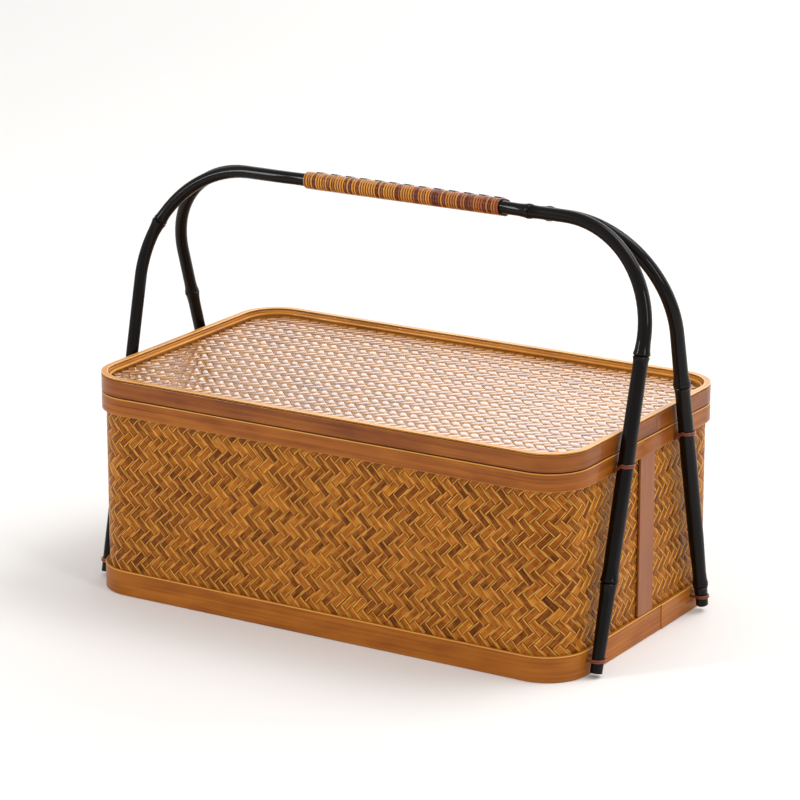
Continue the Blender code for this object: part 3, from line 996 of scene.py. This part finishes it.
def wind_grip():
    draw = random.Random(31)
    along, outward, edge = strand_section()
    rows, grain, tones = [], [], []
    shades = []
    for _ in range(TURN_COUNT + 1):
        shades.append(draw.uniform(0.6, 1.0) if draw.random() < 0.22 else draw.uniform(0.0, 0.45))
    for step in range(TURN_COUNT * TURN_STEPS + 1):
        turn = step / TURN_STEPS
        y, z, out = oval_place(math.floor(turn), turn % 1.0)
        x = GRIP_START + turn * TURN_PITCH
        rows.append(np.stack([x + along, y + outward * out[0], z + outward * out[1]], -1))
        grain.append(np.stack([0 * along + turn * 50 * MM, along, outward], -1))
        share = turn % 1.0
        here, after = shades[math.floor(turn)], shades[min(math.floor(turn) + 1, TURN_COUNT)]
        tones.append(here + (after - here) * max(share - 0.9, 0.0) * 10)
    stock = Stock()
    stock.loft(np.array(rows), np.array(grain), np.array(tones)[:, None], edge[None, :])
    return stock.piece("grip_winding", binding_finish, ["grip_binding"], "binding", smooth=60)


wind_grip()
print(TURN_COUNT, "turns, over", round(TURN_COUNT * TURN_PITCH, 3), "m")

# %% [markdown]
# ## The dark strip in the grip
# It dips against the canes where three turns pass over it and rises on top of
# the winding for the next three.

# %% Thread the dark strip
SPLINE_HALF_WIDTH = 2.7 * MM
SPLINE_HALF_THICKNESS = 0.42 * MM


def thread_strip():
    section, _ = bar_section(SPLINE_HALF_WIDTH * 2, SPLINE_HALF_THICKNESS * 2, 0.2 * MM, 0.2 * MM)
    steps = TURN_COUNT * 4
    turns = np.arange(2, steps - 1) / 4
    low = WOUND_RADIUS - STRAND_HALF_HEIGHT * 0.5 - SPLINE_HALF_THICKNESS + 0.1 * MM
    high = WOUND_RADIUS + STRAND_HALF_HEIGHT + SPLINE_HALF_THICKNESS + 0.05 * MM
    place = turns / TURNS_OVER % 2
    up = np.clip((np.minimum(place - 1, 2 - place)) * 6 + 0.5, 0, 1)
    heights = low + (high - low) * up * up * (3 - 2 * up)
    x = (GRIP_START + turns * TURN_PITCH)[:, None] + 0 * section[None, :, 0]
    y, z = tilted(section[None, :, 0] + 0 * x, heights[:, None] + section[None, :, 1])
    z = GRIP_Z + z
    grain = np.stack([x, y, 0 * x + section[None, :, 1]], -1)
    stock = Stock()
    stock.loft(np.stack([x, y, z], -1), grain, 0.3, 0.0)
    return stock.piece("grip_dark_strip", spline_finish, ["grip_spline"], "spline", smooth=60)


thread_strip()

# %% [markdown]
# ## Lashings
# At the rim and at the foot each leg is tied with two turns of round cane. A
# turn comes out of a hole beside the leg, goes round it, and back into a hole on
# its other side. The ends run on behind the band, out of sight.

# %% Tie the legs
STRAND_RADIUS = 0.62 * MM
HALF_HOLE_SPACING = 4.4 * MM
HOLE_DEPTH = 3 * MM
RIM_TIE_Z, FOOT_TIE_Z = 135.5 * MM, 11.0 * MM
RIM_HOLE_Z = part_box("rim_band")[0].z - 0.8 * MM


def leg_place(side, end, z):
    arch = FRONT_ARCH if side < 0 else BACK_ARCH
    distance = z - arch["foot_z"]
    distance = distance if end < 0 else sum(arch_lengths(arch)) - distance
    return cane_centre(side, distance), float(np.interp(distance, TAPER_AT, TAPER))


def strand_path(side, end, leg_z, hole_z, hole_x):
    """From a hole, round the outer side of a leg, and back into another hole."""
    centre, radius = leg_place(side, end, leg_z)
    reach = radius + STRAND_RADIUS * 0.9
    front_y, back_y = centre[1] - HALF_HOLE_SPACING, centre[1] + HALF_HOLE_SPACING
    outside, inside = end * hole_x, end * (hole_x - HOLE_DEPTH)
    points = [(inside, front_y, hole_z), (outside, front_y, hole_z)]
    for step in range(13):
        angle = math.radians(-96 + 192 * step / 12)
        x = centre[0] + end * reach * math.cos(angle)
        points.append((x, centre[1] + reach * math.sin(angle), leg_z))
    points += [(outside, back_y, hole_z), (inside, back_y, hole_z)]
    return smooth_path(np.array(points), 4)


def smooth_path(points, steps):
    """A smooth curve through the points, with some more between each two."""
    padded = np.concatenate([[2 * points[0] - points[1]], points, [2 * points[-1] - points[-2]]])
    out = []
    for a, b, c, d in zip(padded, padded[1:], padded[2:], padded[3:]):
        for t in np.arange(steps) / steps:
            bend, twist = 2 * a - 5 * b + 4 * c - d, 3 * b - a - 3 * c + d
            out.append(0.5 * (2 * b + (c - a) * t + bend * t**2 + twist * t**3))
    return np.array(out + [points[-1]])


def tie(name, node, side, end, leg_z, hole_z, hole_x, draw):
    stock = Stock()
    for turn in (-1, 1):
        lift = turn * STRAND_RADIUS * 0.98
        slip = draw.uniform(-0.2, 0.2) * MM
        path = strand_path(side, end, leg_z + lift + slip * 0.3, hole_z + lift * 0.6, hole_x)
        tube(stock, path, STRAND_RADIUS, 10, draw.random() * 0.5)
    return stock.piece(name, lashing_finish, [node], "lashing", smooth=60)


lashing_draw = random.Random(41)
weave_face = HALF_LENGTH - 2.6 * MM
band_inside = HALF_LENGTH - 0.5 * MM
for depth_name, side in (("front", -1), ("back", 1)):
    for end_name, end in (("left", -1), ("right", 1)):
        leg = f"{depth_name}_{end_name}"
        tie(
            f"rim_tie_{leg}", f"rim_lashing_{leg}", side, end,
            RIM_TIE_Z, RIM_HOLE_Z, weave_face, lashing_draw,
        )
        tie(
            f"foot_tie_{leg}", f"foot_lashing_{leg}", side, end,
            FOOT_TIE_Z, FOOT_TIE_Z, band_inside, lashing_draw,
        )

# %% [markdown]
# ## End strips
# A flat strip of bamboo stands against the weave at the middle of each end,
# between the two bands, to stiffen it. Its broad face is satin, and its fibres
# run upright.

# %% Satin bamboo
def satin_bamboo(name, dark, middle, pale, gloss, roughness):
    finish = Finish(name)
    fibres = finish.noise((5.0, 1500.0, 1500.0), 4.0, 0.6)
    clouds = finish.noise((14.0, 120.0, 120.0), 3.0, 0.5, 7.0)
    settings = {"stops": [(0.34, dark), (0.55, middle), (0.80, pale)]}
    colour = finish.node("ShaderNodeValToRGB", settings, {"Fac": fibres * 0.5 + clouds * 0.5}, "Color")
    worn = finish.between(finish.attribute("wear"), 0.4, 1.0)
    colour = finish.mix(worn * 0.5, colour, pale)
    return finish.dress(
        Base_Color=colour,
        Roughness=roughness + fibres * 0.12,
        Normal=finish.bump(fibres, 0.08 * MM, 0.6),
        Specular_IOR_Level=0.3,
        Coat_Weight=gloss,
        Coat_Roughness=0.3,
        Coat_IOR=1.5,
    )


strip_finish = satin_bamboo(
    "end_strip_bamboo", (0.20, 0.052, 0.013), (0.28, 0.088, 0.023), (0.37, 0.14, 0.042), 0.2, 0.4
)
timber_finish = satin_bamboo(
    "plain_timber", (0.24, 0.12, 0.045), (0.40, 0.235, 0.105), (0.56, 0.37, 0.18), 0.1, 0.55
)
lining_finish = satin_bamboo(
    "lining_veneer", (0.33, 0.185, 0.070), (0.50, 0.315, 0.140), (0.66, 0.46, 0.24), 0.15, 0.5
)

# %% A straight bar with eased edges
BAR_STEPS = 24


def bar(name, node, finish, slot, body, run_axis, easing=0.35 * MM, bow=0.0, tone=0.5):
    """A straight strip that fills its solid's box; run_axis is its length, 0 to 2."""
    low, high = (np.array(corner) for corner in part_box(node))
    size, centre = high - low, (high + low) / 2
    others = [axis for axis in range(3) if axis != run_axis]
    section, wear = bar_section(size[others[0]], size[others[1]], easing, easing * 1.5)
    run = np.linspace(low[run_axis], high[run_axis], BAR_STEPS)
    rows = np.zeros((BAR_STEPS, len(section), 3))
    rows[..., run_axis] = run[:, None]
    bulge = bow * np.sin(np.linspace(0, math.pi, BAR_STEPS))[:, None]
    rows[..., others[0]] = centre[others[0]] + section[None, :, 0] + bulge * np.sign(centre[0])
    rows[..., others[1]] = centre[others[1]] + section[None, :, 1]
    if (run_axis + 1) % 3 != others[0]:
        rows = rows[:, ::-1]
        wear = wear[::-1]
    grain = np.stack([rows[..., run_axis], rows[..., others[0]], rows[..., others[1]]], -1)
    stock = Stock()
    stock.loft(rows, grain, tone, wear[None, :])
    return stock.piece(name, finish, [node], slot, body)


for label in ("left", "right"):
    bar(f"end_stiffener_{label}", f"end_strip_{label}", strip_finish, "strip", "basket", 2, bow=0.15 * MM)

# %% [markdown]
# ## Inside and underneath
# The lid comes off, so the inside is finished too: a thin veneer lines the
# walls, a collar stands above the rim for the lid to slip over, and a board
# makes the floor, on two battens and an inner band.

# %% Line the inside
def plain_hoop(name, node, thickness, finish, slot, body="basket", tone=0.5):
    shape = {"thickness": thickness, "joint_y": 15 * MM, "tone": tone}
    return band(name, node, finish, slot, body, 0.25 * MM, 0.3 * MM, **shape)


plain_hoop("wall_lining", "inner_lining", 1.2 * MM, lining_finish, "lining", tone=0.2)
plain_hoop("lid_collar", "neck_band", 2.3 * MM, timber_finish, "timber", tone=0.6)
plain_hoop("foot_inner_band", "base_inner_band", 2.8 * MM, timber_finish, "timber", tone=0.9)

# %% Boards
def board(name, node, finish, slot, body, easing=0.3 * MM, tone=0.5):
    """A flat board with the plan's rounded corners and eased edges."""
    low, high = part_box(node)
    inset = HALF_LENGTH - high.x
    stations = plan_stations(0.0)[:-1]
    rows, wears = [], []
    for drop_in, z, wear in (
        (20 * MM, low.z, 0.0), (easing, low.z, 0.3), (0.0, low.z + easing, 1.0),
        (0.0, high.z - easing, 1.0), (easing, high.z, 0.3), (20 * MM, high.z, 0.0),
    ):
        radius = CORNER_RADIUS - inset - drop_in
        x = stations[:, 0] + radius * np.cos(stations[:, 2])
        y = stations[:, 1] + radius * np.sin(stations[:, 2])
        rows.append(np.stack([x, y, 0 * x + z], -1))
        wears.append(0 * x + wear)
    rows = np.array(rows)
    stock = Stock()
    stock.loft(rows, rows.copy(), tone, np.array(wears))
    return stock.piece(name, finish, [node], slot, body)


board("floor_board", "base_board", timber_finish, "timber", "basket", tone=0.3)
board("lid_lining_board", "lid_board", lining_finish, "timber", "lid", tone=0.7)
for label in ("left", "right"):
    bar(f"floor_batten_{label}", f"base_batten_{label}", timber_finish, "timber", "basket", 1)
    bar(f"lid_brace_{label}", f"lid_batten_{label}", timber_finish, "timber", "lid", 1)

# %% [markdown]
# ## The bead round the lid's panel
# A thin round cane covers the cut ends of the woven panel, in the corner between
# it and the lid's inner band.

# %% Lay the bead
bead_low, bead_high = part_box("lid_bead")


def lay_bead():
    radius = (bead_high.z - bead_low.z) / 2
    depth = HALF_LENGTH - bead_high.x
    stations = plan_stations(-30 * MM)
    reach = CORNER_RADIUS - depth - radius
    x = stations[:, 0] + reach * np.cos(stations[:, 2])
    y = stations[:, 1] + reach * np.sin(stations[:, 2])
    path = np.stack([x, y, 0 * x + bead_low.z + radius], -1)
    stock = Stock()
    tube(stock, path[:-1], radius, 12, 0.2)
    return stock.piece("panel_bead", ring_finish, ["lid_bead"], "lashing", "lid", smooth=70)


lay_bead()

# %% [markdown]
# ## Floor and light
# A wide pale floor and an even surround, as in a light tent. Polished canes and
# lacquer show mostly what they mirror. A tall window-like lamp at the front left
# draws the long highlights on the canes, and a wide bright backdrop behind is
# what the lid's lacquer mirrors at a low angle. The lamp above stands behind and
# to the right, so the soft shadow falls to the front left.

# %% Floor
def floor():
    mesh = bpy.data.meshes.new("floor")
    half = 6.0
    corners = [(-half, -half, 0), (half, -half, 0), (half, half, 0), (-half, half, 0)]
    mesh.from_pydata(corners, [], [(0, 1, 2, 3)])
    made = bpy.data.objects.new("floor", mesh)
    made.location.z = -0.2 * MM
    bpy.context.scene.collection.objects.link(made)
    finish = Finish("pale_floor")
    mesh.materials.append(finish.dress(Base_Color=(0.86, 0.843, 0.825), Roughness=0.9))
    made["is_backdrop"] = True


floor()

# %% Light
world = bpy.data.worlds.new("light_tent")
world.use_nodes = True
world.node_tree.nodes["Background"].inputs["Color"].default_value = (1.0, 1.0, 1.0, 1.0)
world.node_tree.nodes["Background"].inputs["Strength"].default_value = 0.65
bpy.context.scene.world = world
bpy.context.scene.view_settings.view_transform = "Standard"


def soft_lamp(name, place, target, width, height, power):
    lamp = bpy.data.lights.new(name, "AREA")
    lamp.shape = "RECTANGLE"
    lamp.size, lamp.size_y, lamp.energy = width, height, power
    made = bpy.data.objects.new(name, lamp)
    bpy.context.scene.collection.objects.link(made)
    made.location = place
    made.rotation_euler = (Vector(target) - Vector(place)).to_track_quat("-Z", "Y").to_euler()


soft_lamp("window", (-1.7, -2.1, 1.5), (0, 0, 0.15), 0.42, 1.3, 27.0)
soft_lamp("end_panel", (2.3, -0.7, 1.3), (0.1, 0, 0.15), 0.5, 1.0, 12.0)
soft_lamp("backdrop", (0.6, 3.6, 1.5), (0.3, 1.0, 0.3), 7.0, 3.0, 88.0)
soft_lamp("top_panel", (0.9, 0.8, 2.2), (0, 0, 0.1), 1.4, 1.2, 29.0)

# %% [markdown]
# The finished pieces must fill the same box as the solid model. How much the
# box grows along each axis is printed.

# %% Compare the boxes and finish
made_low, made_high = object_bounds()
growth = (made_high - made_low) - (cad_high - cad_low)
print("box grows by", [round(side / MM, 2) for side in growth], "mm")
